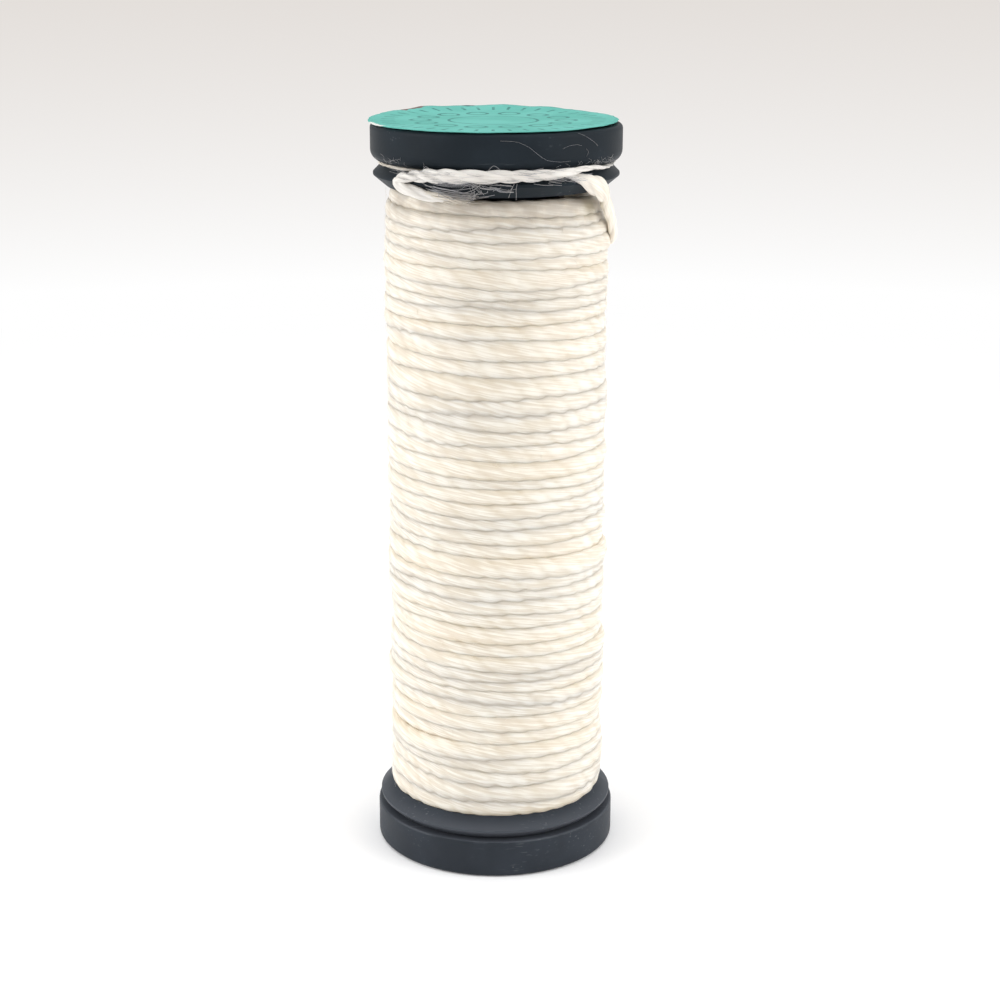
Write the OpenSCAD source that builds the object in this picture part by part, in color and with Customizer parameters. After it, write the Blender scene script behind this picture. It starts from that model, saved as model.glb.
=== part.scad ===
// Snap spool of embroidery thread, standing on end.
// Every end is built from its outer face inwards: "depth" is the distance from that
// face along the axis. The bottom end is drawn as it stands, the top end is its mirror.

/* [Overall] */
// Height over both end caps and the paper label
spool_h = 50; // [41:0.5:60]
// Diameter of the end caps
flange_d = 16.5; // [13.7:0.1:20]

/* [End caps] */
// Rounding of the top cap edge that faces the thread groove
top_corner_r = 0.75; // [0.3:0.01:0.8]
// Rounding of the bottom cap edge that faces its groove, left almost sharp
bottom_corner_r = 0.12; // [0.05:0.01:0.8]
// Rounding of the cap edge round its outer face
cap_edge_r = 0.3; // [0.1:0.05:0.5]
// Bore that takes a spool pin
spindle_d = 6; // [5:0.1:6.5]
// Length of the spigot that slides in the core tube
spigot_len = 6.34; // [5.4:0.01:8]
// Radial clearance of the spigot in the core tube
spigot_clear = 0.05; // [0.02:0.01:0.1]
// Distance that an end cap slides out to free the thread
cap_travel = 1.2; // [0.8:0.1:1.6]
// Number of slits that make the spigot into snap fingers
finger_slits = 4; // [2:1:4]
// Width of a slit
slit_w = 0.5; // [0.3:0.05:0.7]

/* [Thread groove] */
// Distance from the outer face of an end to the ridge of its lip
ridge_depth = 2.61; // [2.4:0.01:3.2]
// Gap between the closed top cap and the ridge, which pinches the thread
top_gap = 0.2; // [0.15:0.01:0.3]
// Gap between the closed bottom cap and its ridge, which holds no thread
bottom_gap = 0.05; // [0.05:0.01:0.3]
// Distance that the lip edge stands back from the cap edge
rim_inset = 0.17; // [0.05:0.01:0.4]
// Width and depth of the 45 degree slope on the groove side of a lip
lip_chamfer = 0.53; // [0.4:0.01:0.7]
// Height of the straight edge of a lip
rim_h = 0.16; // [0.14:0.01:0.4]
// Rounding of the lip edges
lip_edge_r = 0.05; // [0.03:0.01:0.07]
// Radial width of the hidden channel that the thread lies in
channel_w = 0.95; // [0.85:0.05:1.2]
// Depth of that channel below the ridge, in the lip
channel_h = 0.45; // [0.4:0.05:0.5]

/* [Lips] */
// Radial width of the slope on the winding side of a lip
bevel_w = 0.88; // [0.7:0.02:1.1]
// Height of that slope
bevel_h = 0.73; // [0.45:0.01:0.8]

/* [Core tube] */
// Outside diameter of the core tube
tube_d = 9.2; // [8.6:0.1:11.2]
// Wall of the core tube
tube_wall = 0.8; // [0.7:0.05:1]
// Depth of the socket in a lip that holds the tube end
socket_h = 0.87; // [0.6:0.01:1]

/* [Thread] */
// Distance of the winding surface inside the cap edge
wound_inset = 0.92; // [0.8:0.02:1.2]
// Thickness of one drawn loop of the outer layer
loop_d = 1.26; // [1:0.02:1.5]
// Least gap to keep between two drawn loops
loop_gap = 0.41; // [0.41:0.01:0.6]
// Gap between the winding and the lips
wound_clear = 0.03; // [0.02:0.01:0.1]

/* [Label] */
// Distance of the label edge inside the cap edge
label_inset = 0.2; // [0.2:0.05:1.5]
// Thickness of the paper label with its glue
label_t = 0.12; // [0.08:0.01:0.2]
// Sideways slip of the label on its cap
label_shift = -0.2; // [-0.2:0.05:0.2]

/* [Hidden] */
$fn = 96;

black = [0.2, 0.22, 0.25];
silk = [0.93, 0.89, 0.82];
teal = [0.45, 0.8, 0.72];

// Radii of the end caps, the lips, the core tube and the winding
flange_r = flange_d / 2;
rim_r = flange_r - rim_inset;
tube_r = tube_d / 2;
tube_in_r = tube_r - tube_wall;
spigot_r = tube_in_r - spigot_clear;
spindle_r = spindle_d / 2;
wound_r = flange_r - wound_inset;

// Depths of the caps and the lip, from the cap's outer face inwards
top_cap_h = ridge_depth - top_gap;
bottom_cap_h = ridge_depth - bottom_gap;
rim_depth = ridge_depth + lip_chamfer;
rim_end_depth = rim_depth + rim_h;
face_depth = rim_end_depth + bevel_h;
socket_depth = face_depth - socket_h;
body_h = spool_h - label_t;

// Pinching ridge, and the channel behind it: half in the lip, half in the cap
ridge_land = 0.15;
ridge_out_r = rim_r - lip_chamfer;
channel_out_r = ridge_out_r - ridge_land;
channel_in_r = channel_out_r - channel_w;
channel_floor_depth = ridge_depth + channel_h;
seat_inset = 0.1;
seat_clear = 0.02;
seat_depth = ridge_depth - seat_clear;

// Snap bead on the spigot, and the groove in the tube that lets it slide
bead_proud = 0.2;
bead_len = 0.6;
bead_slope = 0.2;
bead_clear = 0.06;
bead_tip_gap = 0.7;
spigot_tip_depth = seat_depth + spigot_len;
bead_end_depth = spigot_tip_depth - bead_tip_gap;
bead_depth = bead_end_depth - bead_len;
tip_chamfer = 0.3;
slit_depth = seat_depth + 1.2;
corner_steps = 6;

// Outer layer of the winding: a left-handed helix of at most 24 loops
max_loops = 24;
rings_per_loop = 24;
sides = 6;
loop_r = loop_d / 2;
loop_path_r = wound_r - loop_r * cos(180 / sides);
drum_r = loop_path_r - loop_r * cos(180 / sides);
wind_bottom = face_depth + wound_clear;
wind_top = body_h - face_depth - wound_clear;
helix_bottom = wind_bottom + loop_r;
helix_top = wind_top - loop_r;
loops = min(max_loops, floor((helix_top - helix_bottom) / (loop_d + loop_gap)));
pitch = (helix_top - helix_bottom) / loops;
dive_r = 0.75;
dive_steps = 6;
dive_clear = 0.05;
dive_run = min(loop_d, loop_path_r - dive_r - tube_r - dive_clear);

// Route of the locked thread end, from the winding, over the lip, once round the
// channel, over its own lead, along the front of the groove and back over the lip.
// Each row: azimuth, distance below the ridge, surface (0 winding, 1 lip edge),
// distance out from that surface, and half thickness radially and across.
route = [
    [14, 5.09, 0, -0.2, 0.36, 0.4],
    [6, 5.04, 0, 0, 0.36, 0.42],
    [-2, 4.85, 0, 0.22, 0.34, 0.45],
    [-9, 4.3, 0, 0.4, 0.32, 0.5],
    [-15, 3.5, 0, 0.42, 0.3, 0.52],
    [-21, 2.7, 0, 0.44, 0.3, 0.56],
    [-27, 2, 0, 0.5, 0.29, 0.6],
    [-32, 1.5, 1, 0.05, 0.28, 0.66],
    [-37, 1.12, 1, 0.22, 0.25, 0.7],
    [-41, 0.86, 1, 0.27, 0.22, 0.68],
    [-45, 0.62, 1, 0.24, 0.2, 0.6],
    [-49, 0.4, 1, 0.17, 0.18, 0.4],
    [-53, 0.18, 1, 0.02, 0.16, 0.24],
    [-57, 0.04, 1, -0.17, 0.17, 0.14],
    [-61, -0.08, 1, -0.36, 0.22, 0.07],
    [-66, -0.1, 1, -0.52, 0.36, 0.07],
    [-73, -0.1, 1, -0.7, 0.42, 0.06],
    [-80, -0.1, 1, -0.88, 0.4, 0.08],
    [-87, -0.1, 1, -1.08, 0.36, 0.14],
    [-96, -0.05, 1, -1.15, 0.35, 0.32],
    [-110, 0, 1, -1.15, 0.35, 0.34],
    [-352, 0, 1, -1.15, 0.35, 0.34],
    [-360, -0.1, 1, -1.1, 0.36, 0.16],
    [-366, -0.1, 1, -0.92, 0.42, 0.07],
    [-373, -0.1, 1, -0.66, 0.4, 0.06],
    [-380, -0.11, 1, -0.42, 0.3, 0.07],
    [-387, -0.13, 1, -0.2, 0.22, 0.1],
    [-394, -0.2, 1, 0.02, 0.2, 0.12],
    [-401, -0.3, 1, 0.18, 0.2, 0.15],
    [-408, -0.33, 1, 0.36, 0.2, 0.19],
    [-415, -0.24, 1, 0.42, 0.24, 0.25],
    [-422, -0.13, 1, 0.36, 0.28, 0.31],
    [-432, -0.05, 1, 0.2, 0.31, 0.38],
    [-445, -0.03, 1, 0.2, 0.31, 0.42],
    [-460, 0, 1, 0.22, 0.31, 0.46],
    [-474, 0.02, 1, 0.22, 0.31, 0.47],
    [-484, 0.08, 1, 0.25, 0.31, 0.44],
    [-490, 0.18, 1, 0.28, 0.31, 0.36],
    [-495, 0.34, 1, 0.3, 0.31, 0.36],
    [-497.3, 0.55, 1, 0.34, 0.32, 0.4],
    [-496.2, 0.78, 1, 0.3, 0.32, 0.4],
    [-493, 1, 1, 0.2, 0.31, 0.42],
    [-489, 1.17, 1, 0.02, 0.29, 0.41],
    [-484.5, 1.32, 1, -0.22, 0.26, 0.4],
    [-479, 1.45, 1, -0.34, 0.2, 0.34],
];
ring_step = 13;

// A corner of a profile rounded by an arc that is tangent to both its edges
function unit(v) = v / norm(v);
function turn(from, to) = (to - from + 540) % 360 - 180;
function fillet(a, p, b, r) =
    let (u = unit(a - p), v = unit(b - p), half = acos(u * v) / 2,
         c = p + unit(u + v) * r / sin(half),
         start = p + u * r / tan(half) - c, stop = p + v * r / tan(half) - c,
         from = atan2(start[1], start[0]),
         sweep = turn(from, atan2(stop[1], stop[0])))
    [for (i = [0 : corner_steps])
        let (t = from + sweep * i / corner_steps) c + r * [cos(t), sin(t)]];

// An outline given as rows of x, y and corner radius
function rounded(rows) =
    let (n = len(rows), xy = [for (row = rows) [row[0], row[1]]])
    [for (i = [0 : n - 1])
        each rows[i][2] == 0 ? [xy[i]]
            : fillet(xy[(i + n - 1) % n], xy[i], xy[(i + 1) % n], rows[i][2])];

// A closed strand through rings of points: "across" gives each ring's first axis,
// and the strand is half_a thick along it and half_b thick square to it
function ring(points, i, across, half_a, half_b, start) =
    let (last = len(points) - 1,
         along = unit(points[min(i + 1, last)] - points[max(i - 1, 0)]),
         a = unit(across - (across * along) * along),
         b = cross(along, a))
    [for (k = [0 : sides - 1])
        let (t = start + 360 * k / sides)
        points[i] + a * half_a * cos(t) + b * half_b * sin(t)];

module strand(points, across, halves, start) {
    count = len(points);
    corners = [for (i = [0 : count - 1])
        each ring(points, i, across[i], halves[i][0], halves[i][1], start)];
    walls = [for (i = [0 : count - 2], k = [0 : sides - 1])
        let (a = i * sides + k, b = i * sides + (k + 1) % sides)
        each [[a, a + sides, b], [b, a + sides, b + sides]]];
    first = [for (k = [1 : sides - 2]) [0, k, k + 1]];
    end = (count - 1) * sides;
    last = [for (k = [1 : sides - 2]) [end, end + k + 1, end + k]];
    polyhedron(points = corners, faces = concat(walls, first, last), convexity = 10);
}

// Places what is drawn for the bottom end at the top end
module at_top() {
    translate([0, 0, body_h]) mirror([0, 0, 1]) children();
}

// One end cap: a disc with a rounded edge, a relief for the thread, a seat that
// stops on the lip, and a slit spigot with a snap bead
module end_cap(cap_h, corner_r) {
    seat_r = channel_in_r - seat_inset;
    channel_roof_depth = cap_h - channel_h;
    difference() {
        rotate_extrude() polygon(rounded([
            [spindle_r, 0, 0],
            [flange_r, 0, cap_edge_r],
            [flange_r, cap_h, corner_r],
            [channel_out_r, cap_h, 0],
            [channel_out_r, channel_roof_depth, 0],
            [seat_r, channel_roof_depth, 0],
            [seat_r, seat_depth, 0],
            [spigot_r, seat_depth, 0],
            [spigot_r, bead_depth - bead_slope, 0],
            [spigot_r + bead_proud, bead_depth, 0],
            [spigot_r + bead_proud, bead_end_depth, 0],
            [spigot_r, bead_end_depth + bead_slope, 0],
            [spigot_r, spigot_tip_depth - tip_chamfer, 0],
            [spigot_r - tip_chamfer, spigot_tip_depth, 0],
            [spindle_r, spigot_tip_depth, 0],
        ]));
        for (i = [0 : finger_slits - 1])
            rotate([0, 0, 360 * i / finger_slits])
                translate([spindle_r / 2, -slit_w / 2, slit_depth])
                    cube([spigot_r, slit_w, spigot_tip_depth]);
    }
}

// One lip: a flange with a sloped edge on both sides, a ridge that pinches the
// thread against the cap, a channel behind it and a socket for the core tube
module lip() {
    rotate_extrude() polygon(rounded([
        [tube_in_r, ridge_depth, 0],
        [channel_in_r, ridge_depth, 0],
        [channel_in_r, channel_floor_depth, 0],
        [channel_out_r, channel_floor_depth, 0],
        [channel_out_r, ridge_depth, 0],
        [ridge_out_r, ridge_depth, lip_edge_r],
        [rim_r, rim_depth, lip_edge_r],
        [rim_r, rim_end_depth, lip_edge_r],
        [rim_r - bevel_w, face_depth, 0],
        [tube_r, face_depth, 0],
        [tube_r, socket_depth, 0],
        [tube_in_r, socket_depth, 0],
    ]));
}

// The groove inside one end of the core tube, long enough for the bead to travel
module bead_groove() {
    low = bead_depth - bead_slope - cap_travel - bead_clear;
    high = bead_end_depth + bead_slope + bead_clear;
    groove_r = spigot_r + bead_proud + bead_clear;
    translate([0, 0, low]) cylinder(r = groove_r, h = high - low);
}

module core_tube() {
    color(black) difference() {
        translate([0, 0, socket_depth]) cylinder(r = tube_r, h = body_h - 2 * socket_depth);
        cylinder(r = tube_in_r, h = body_h);
        bead_groove();
        at_top() bead_groove();
    }
}

module bottom_lip() {
    color(black) lip();
}

module top_lip() {
    color(black) at_top() lip();
}

module bottom_cap() {
    color(black) end_cap(bottom_cap_h, bottom_corner_r);
}

module top_cap() {
    color(black) at_top() end_cap(top_cap_h, top_corner_r);
}

// The paper disc glued over the spindle bore of the top cap
module top_label() {
    color(teal) translate([label_shift, 0, body_h]) cylinder(r = flange_r - label_inset, h = label_t);
}

// The layers under the outer one, as a plain sleeve on the core tube
module inner_winding() {
    color(silk) translate([0, 0, wind_bottom]) difference() {
        cylinder(r = drum_r, h = wind_top - wind_bottom);
        translate([0, 0, -1]) cylinder(r = tube_r, h = wind_top - wind_bottom + 2);
    }
}

// Points of the helix, and of the bend at each end that dives into the layers below
function helix_point(turns) =
    [loop_path_r * cos(-360 * turns), loop_path_r * sin(-360 * turns),
     helix_bottom + pitch * turns];
function dive_point(turns, way, t) =
    let (out = [cos(-360 * turns), sin(-360 * turns), 0],
         along = way * [sin(-360 * turns), -cos(-360 * turns), 0])
    helix_point(turns) + dive_r * (sin(t) * along - (1 - cos(t)) * out);
function dive_end(turns, way) =
    dive_point(turns, way, 90) - dive_run * [cos(-360 * turns), sin(-360 * turns), 0];

helix = [for (i = [0 : loops * rings_per_loop]) helix_point(i / rings_per_loop)];
winding_path = concat(
    [dive_end(0, -1)],
    [for (i = [dive_steps : -1 : 1]) dive_point(0, -1, 90 * i / dive_steps)],
    helix,
    [for (i = [1 : dive_steps]) dive_point(loops, 1, 90 * i / dive_steps)],
    [dive_end(loops, 1)]);

// Least gap between two loops: from each point of one loop to all of the next one
loop_gaps = [for (i = [0 : rings_per_loop], j = [rings_per_loop / 2 : 3 * rings_per_loop / 2])
    norm(helix[i + j] - helix[i]) - loop_d];
echo(least_gap_between_loops = min(loop_gaps), loops = loops);

module outer_winding() {
    up = [for (p = winding_path) [0, 0, 1]];
    halves = [for (p = winding_path) [loop_r, loop_r]];
    color(silk) strand(winding_path, up, halves, 0);
}

// The route with rings no further apart than ring_step, from row to row
route_rows = [for (i = [0 : len(route) - 2])
    let (n = max(1, ceil(abs(route[i + 1][0] - route[i][0]) / ring_step)))
    for (k = [0 : n - 1]) route[i] + (route[i + 1] - route[i]) * k / n];
locked_rows = concat(route_rows, [route[len(route) - 1]]);
function locked_point(row) =
    let (r = wound_r + row[2] * (rim_r - wound_r) + row[3])
    [r * cos(row[0]), r * sin(row[0]), body_h - ridge_depth - row[1]];
locked_path = [for (row = locked_rows) locked_point(row)];
steps = [for (i = [1 : len(locked_path) - 1]) norm(locked_path[i] - locked_path[i - 1])];
echo(locked_thread_length = steps * [for (s = steps) 1], rings = len(locked_path));

module locked_thread() {
    out = [for (row = locked_rows) [cos(row[0]), sin(row[0]), 0]];
    halves = [for (row = locked_rows) [row[4], row[5]]];
    color(silk) strand(locked_path, out, halves, 0);
}

core_tube();
bottom_lip();
top_lip();
bottom_cap();
top_cap();
top_label();
inner_winding();
outer_winding();
locked_thread();
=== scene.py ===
import math

import bpy
import numpy as np
from mathutils import Matrix, Vector


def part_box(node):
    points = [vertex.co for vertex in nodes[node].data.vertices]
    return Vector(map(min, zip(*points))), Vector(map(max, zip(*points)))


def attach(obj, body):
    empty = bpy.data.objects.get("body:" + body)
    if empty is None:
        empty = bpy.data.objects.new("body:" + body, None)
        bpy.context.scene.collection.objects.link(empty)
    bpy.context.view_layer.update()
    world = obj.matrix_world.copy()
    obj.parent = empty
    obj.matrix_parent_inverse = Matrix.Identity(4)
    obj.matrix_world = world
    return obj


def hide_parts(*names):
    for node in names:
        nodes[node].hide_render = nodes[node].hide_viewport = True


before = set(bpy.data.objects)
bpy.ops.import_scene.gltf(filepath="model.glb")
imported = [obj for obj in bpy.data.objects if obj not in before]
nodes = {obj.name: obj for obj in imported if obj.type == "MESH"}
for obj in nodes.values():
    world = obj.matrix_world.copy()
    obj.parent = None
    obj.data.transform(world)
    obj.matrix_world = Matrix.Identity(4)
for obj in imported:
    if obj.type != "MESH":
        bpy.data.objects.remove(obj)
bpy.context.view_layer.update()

mm = 0.001

# ---- Camera ----
# It stands 134 mm in front of the spool's axis, a little above the label, and looks down
# on the spool by 15.7 degrees. The frame is square.
eye = Vector((0, -134.1, 62.085)) * mm
look_down, look_right, level_error = 15.74, 0.1263, 0.1364
camera_data = bpy.data.cameras.new("camera")
camera_data.sensor_width = 36
camera_data.lens = 73.14
camera_data.clip_start = 0.01
camera = bpy.data.objects.new("camera", camera_data)
camera.matrix_world = (
    Matrix.Translation(eye)
    @ Matrix.Rotation(-math.radians(look_right), 4, "Z")
    @ Matrix.Rotation(math.radians(90 - look_down), 4, "X")
    @ Matrix.Rotation(math.radians(level_error), 4, "Z")
)
bpy.context.scene.collection.objects.link(camera)
bpy.context.scene.camera = camera
bpy.context.scene.view_settings.view_transform = "Standard"


# ---- Studio ----
# A white sheet lies under the spool and turns pale grey far behind it. Two soft lamps stand
# at its sides and one hangs above, and the side that the camera looks from is dimmer.
def add(tree, kind, wires=None, **settings):
    """Adds a node, sets its properties, and wires or sets the inputs that are named."""
    made = tree.nodes.new(kind)
    for name, value in settings.items():
        setattr(made, name, value)
    for name, value in (wires or {}).items():
        if isinstance(value, bpy.types.NodeSocket):
            tree.links.new(value, made.inputs[name])
        else:
            made.inputs[name].default_value = value
    return made


def calc(tree, operation, *values):
    """One step of arithmetic on numbers."""
    return add(tree, "ShaderNodeMath", dict(enumerate(values)), operation=operation).outputs[0]


def mix(tree, factor, first, second):
    """Blends two colours."""
    node = add(tree, "ShaderNodeMix", data_type="RGBA")
    for socket, value in zip((node.inputs[0], node.inputs[6], node.inputs[7]), (factor, first, second)):
        if isinstance(value, bpy.types.NodeSocket):
            tree.links.new(value, socket)
        else:
            socket.default_value = value
    return node.outputs[2]


def spread(tree, value, low, high, to_low=0.0, to_high=1.0):
    """Maps a number from one range to another, and stops at its ends."""
    wires = {"Value": value, "From Min": low, "From Max": high, "To Min": to_low, "To Max": to_high}
    return add(tree, "ShaderNodeMapRange", wires, interpolation_type="SMOOTHSTEP").outputs[0]


def noise(tree, place, scale, detail):
    """Clouds of light and dark, a number round one half."""
    return add(tree, "ShaderNodeTexNoise", {"Vector": place, "Scale": scale, "Detail": detail}).outputs[0]


def new_material(name):
    """A bare material, its tree, and the place of the shaded point on the object."""
    made = bpy.data.materials.new(name)
    made.use_nodes = True
    made.node_tree.nodes.clear()
    return made, made.node_tree, add(made.node_tree, "ShaderNodeTexCoord").outputs["Object"]


def finish_material(tree, shader):
    """Wires a shader to its material's output."""
    add(tree, "ShaderNodeOutputMaterial", {"Surface": shader})


def add_mesh(name, points, faces, material=None):
    """A mesh object at the origin, smooth, with its place in its points."""
    mesh = bpy.data.meshes.new(name)
    mesh.from_pydata([tuple(p) for p in points], [], faces)
    mesh.polygons.foreach_set("use_smooth", [True] * len(mesh.polygons))
    made = bpy.data.objects.new(name, mesh)
    bpy.context.scene.collection.objects.link(made)
    if material:
        mesh.materials.append(material)
    return made


def ring(radius, sides, height):
    """Points on a circle round the spool's axis."""
    turns = [math.tau * i / sides for i in range(sides)]
    return [(radius * math.cos(turn), radius * math.sin(turn), height) for turn in turns]


floor_r, floor_sides, floor_drop = 3.0, 96, 0.02 * mm
sheet_colour = (0.9, 0.9, 0.905, 1)
near_white = (1.0, 1.0, 1.0, 1)
far_grey = (0.775, 0.738, 0.708, 1)
sheet_glow = 0.09
# Distances from the spool, in metres: the sheet is a lit surface up to the first and a plain
# backdrop from the second, and that backdrop is grey_limit - grey_reach / distance grey
lit_until, backdrop_from = 0.08, 0.2
grey_limit, grey_reach = 1.15, 0.27
sheet_white, tree, place = new_material("white_sheet")
distance = add(tree, "ShaderNodeVectorMath", {0: place}, operation="LENGTH").outputs["Value"]
far = calc(tree, "SUBTRACT", grey_limit, calc(tree, "DIVIDE", grey_reach, distance))
far = calc(tree, "MINIMUM", calc(tree, "MAXIMUM", far, 0.0), 1.0)
lit = add(tree, "ShaderNodeBsdfDiffuse", {"Color": sheet_colour}).outputs[0]
glow = add(tree, "ShaderNodeEmission", {"Color": near_white, "Strength": sheet_glow}).outputs[0]
near = add(tree, "ShaderNodeAddShader", {0: lit, 1: glow}).outputs[0]
back = add(tree, "ShaderNodeEmission", {"Color": mix(tree, far, near_white, far_grey)}).outputs[0]
backdrop_share = spread(tree, distance, lit_until, backdrop_from)
seen = add(tree, "ShaderNodeMixShader", {0: backdrop_share, 1: near, 2: back}).outputs[0]
rays = add(tree, "ShaderNodeLightPath").outputs
looked_at = calc(tree, "MAXIMUM", rays["Is Camera Ray"], rays["Is Glossy Ray"])
looked_at = calc(tree, "MAXIMUM", looked_at, rays["Is Transmission Ray"])
finish_material(tree, add(tree, "ShaderNodeMixShader", {0: looked_at, 1: lit, 2: seen}).outputs[0])
floor_ring = ring(floor_r, floor_sides, -floor_drop)
floor = add_mesh("floor", floor_ring, [tuple(range(floor_sides))], sheet_white)

# Strength of the room's light from the camera's side, and from the others
room_dim, room_bright = 0.34, 0.73
world = bpy.data.worlds.new("studio")
bpy.context.scene.world = world
world.use_nodes = True
tree = world.node_tree
tree.nodes.clear()
sky = add(tree, "ShaderNodeTexCoord").outputs["Generated"]
towards = add(tree, "ShaderNodeSeparateXYZ", {0: sky}).outputs
room = spread(tree, towards["Y"], -0.95, -0.1, room_dim, room_bright)
lighting = add(tree, "ShaderNodeBackground", {"Color": (1, 1, 1, 1), "Strength": room}).outputs[0]
beyond = add(tree, "ShaderNodeBackground", {"Color": far_grey, "Strength": 1.0}).outputs[0]
ray = add(tree, "ShaderNodeLightPath").outputs["Is Camera Ray"]
shown = add(tree, "ShaderNodeMixShader", {0: ray, 1: lighting, 2: beyond}).outputs[0]
add(tree, "ShaderNodeOutputWorld", {"Surface": shown})

spool_middle = Vector((0, 0, 25)) * mm
# Each lamp's place and size in mm, and its power in watts
lamps = {
    "left_lamp": ((-300, -90, 150), 240, 0.63),
    "right_lamp": ((285, -110, 140), 240, 0.56),
    "top_lamp": ((0, -10, 420), 340, 0.6),
}
for name, (spot, size, power) in lamps.items():
    lamp = bpy.data.lights.new(name, "AREA")
    lamp.size = size * mm
    lamp.energy = power
    stand = bpy.data.objects.new(name, lamp)
    stand.location = Vector(spot) * mm
    stand.rotation_mode = "QUATERNION"
    stand.rotation_quaternion = (spool_middle - stand.location).to_track_quat("-Z", "Y")
    bpy.context.scene.collection.objects.link(stand)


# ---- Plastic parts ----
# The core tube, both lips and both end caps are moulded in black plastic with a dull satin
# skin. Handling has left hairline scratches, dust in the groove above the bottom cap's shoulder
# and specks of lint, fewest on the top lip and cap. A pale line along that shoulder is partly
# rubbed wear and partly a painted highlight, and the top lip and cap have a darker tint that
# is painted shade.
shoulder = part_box("bottom_lip")[0].z - 0.05 * mm
# A pale line along the bottom cap's shoulder, partly rubbed wear and partly a painted highlight: the half
# heights and radii over which it fades in, and its strength
shoulder_line_half, shoulder_line_r, shoulder_line_strength = (0.13 * mm, 0.06 * mm), (8.13 * mm, 8.18 * mm), 0.25
dust_low = (shoulder - 0.05 * mm, shoulder)
dust_high = (shoulder + 1.5 * mm, shoulder + 0.6 * mm)
dust_grey, rub_and_highlight_grey = (0.06, 0.067, 0.08, 1), (0.14, 0.15, 0.165, 1)
scratch_grey, lint_grey = (0.16, 0.17, 0.18, 1), (0.3, 0.3, 0.3, 1)
# Scales of the patterns, in waves per metre: a scratch is long along its own first axis
cloud_scale, grain_scale, lint_scale = 260.0, 5200.0, 1300.0
scratch_scale = (90, 5200, 5200)
scratch_turns = ((0.3, 0.2, 0.5), (1.3, 0.7, 2.1), (2.2, 1.9, 0.9))
rough_low, rough_high = 0.42, 0.58
grain_depth = 0.02 * mm


def black_plastic(name, tint, grime, shine):
    """Satin plastic of one tint. Its scratches and lint are as strong as the grime says."""
    made, tree, place = new_material(name)
    cloud = noise(tree, place, cloud_scale, 4.0)
    grain = noise(tree, place, grain_scale, 3.0)
    scratches = None
    for turn in scratch_turns:
        laid = {"Vector": place, "Rotation": turn, "Scale": scratch_scale}
        laid = add(tree, "ShaderNodeMapping", laid).outputs[0]
        lines = spread(tree, noise(tree, laid, 1.0, 1.0), 0.68, 0.78)
        scratches = lines if scratches is None else calc(tree, "MAXIMUM", scratches, lines)
    worn = calc(tree, "MULTIPLY", scratches, spread(tree, cloud, 0.45, 0.7))
    dots = add(tree, "ShaderNodeTexVoronoi", {"Vector": place, "Scale": lint_scale}).outputs["Distance"]
    lint = calc(tree, "MULTIPLY", spread(tree, dots, 0.09, 0.02), spread(tree, cloud, 0.52, 0.64))
    dark = [c * 0.72 for c in tint] + [1]
    colour = mix(tree, spread(tree, cloud, 0.35, 0.7), dark, tint + [1])
    height = add(tree, "ShaderNodeSeparateXYZ", {0: place}).outputs["Z"]
    flat = add(tree, "ShaderNodeVectorMath", {0: place, 1: (1, 1, 0)}, operation="MULTIPLY").outputs[0]
    from_axis = add(tree, "ShaderNodeVectorMath", {0: flat}, operation="LENGTH").outputs["Value"]
    # Painted highlight and rubbed wear along the bottom cap's shoulder
    rub_and_highlight = calc(tree, "ABSOLUTE", calc(tree, "SUBTRACT", height, shoulder))
    rub_and_highlight = calc(tree, "MULTIPLY", spread(tree, rub_and_highlight, *shoulder_line_half), spread(tree, cloud, 0.4, 0.6))
    rub_and_highlight = calc(tree, "MULTIPLY", rub_and_highlight, spread(tree, from_axis, *shoulder_line_r))
    dust = calc(tree, "MULTIPLY", spread(tree, height, *dust_low), spread(tree, height, *dust_high))
    colour = mix(tree, dust, colour, dust_grey)
    colour = mix(tree, calc(tree, "MULTIPLY", rub_and_highlight, shoulder_line_strength), colour, rub_and_highlight_grey)
    colour = mix(tree, calc(tree, "MULTIPLY", worn, grime), colour, scratch_grey)
    colour = mix(tree, calc(tree, "MULTIPLY", lint, grime), colour, lint_grey)
    rough = spread(tree, cloud, 0.3, 0.75, rough_low, rough_high)
    relief = calc(tree, "MULTIPLY_ADD", worn, 0.5, grain)
    relief = {"Height": relief, "Strength": 0.25, "Distance": grain_depth}
    bump = add(tree, "ShaderNodeBump", relief).outputs[0]
    wires = {"Base Color": colour, "Roughness": rough, "Specular IOR Level": shine, "Normal": bump}
    finish_material(tree, add(tree, "ShaderNodeBsdfPrincipled", wires).outputs[0])
    return made


satin_black = black_plastic("black_plastic", [0.03, 0.037, 0.048], 0.5, 0.16)
# The top lip and cap get a darker copy of the same plastic: its darker tint is painted shade, and it has
# fewer scratches and less lint
shaded_clean_black = black_plastic("clean_black_plastic", [0.018, 0.025, 0.032], 0.35, 0.08)
for name in ("core_tube", "bottom_lip", "top_lip", "bottom_cap", "top_cap"):
    mesh = nodes[name].data
    mesh.materials.clear()
    mesh.materials.append(shaded_clean_black if name.startswith("top") else satin_black)


# ---- Paper label ----
# A disc of thin paper, printed teal with a plain dial on white stock and glued on the top
# cap. Its edge is ragged, chipped to the white at the left, and has come loose at the back.
label_low, label_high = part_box("top_label")
label_x = (label_low.x + label_high.x) / 2
label_r = 8.155 * mm
label_thick = label_high.z - label_low.z
paper_thick = 0.04 * mm
lift_back, lift_right = 0.34 * mm, 0.12 * mm
crinkle_depth, ragged_depth = 0.04 * mm, 0.026 * mm
# Shares of the radius: the label lies flat up to the first, and from the second on its glue
# gives out over the third
flat_share, glue_share, glue_over = 0.45, 0.92, 0.06
label_rings, label_steps = 26, 256


def ripple(along, seed, periods):
    """A smooth random wave: one sine for each period, with seeded phases."""
    phases = np.random.default_rng(seed).random(len(periods))
    waves = [np.sin(math.tau * (along / p + phase)) for p, phase in zip(periods, phases)]
    return sum(waves) / math.sqrt(len(periods))


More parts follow.
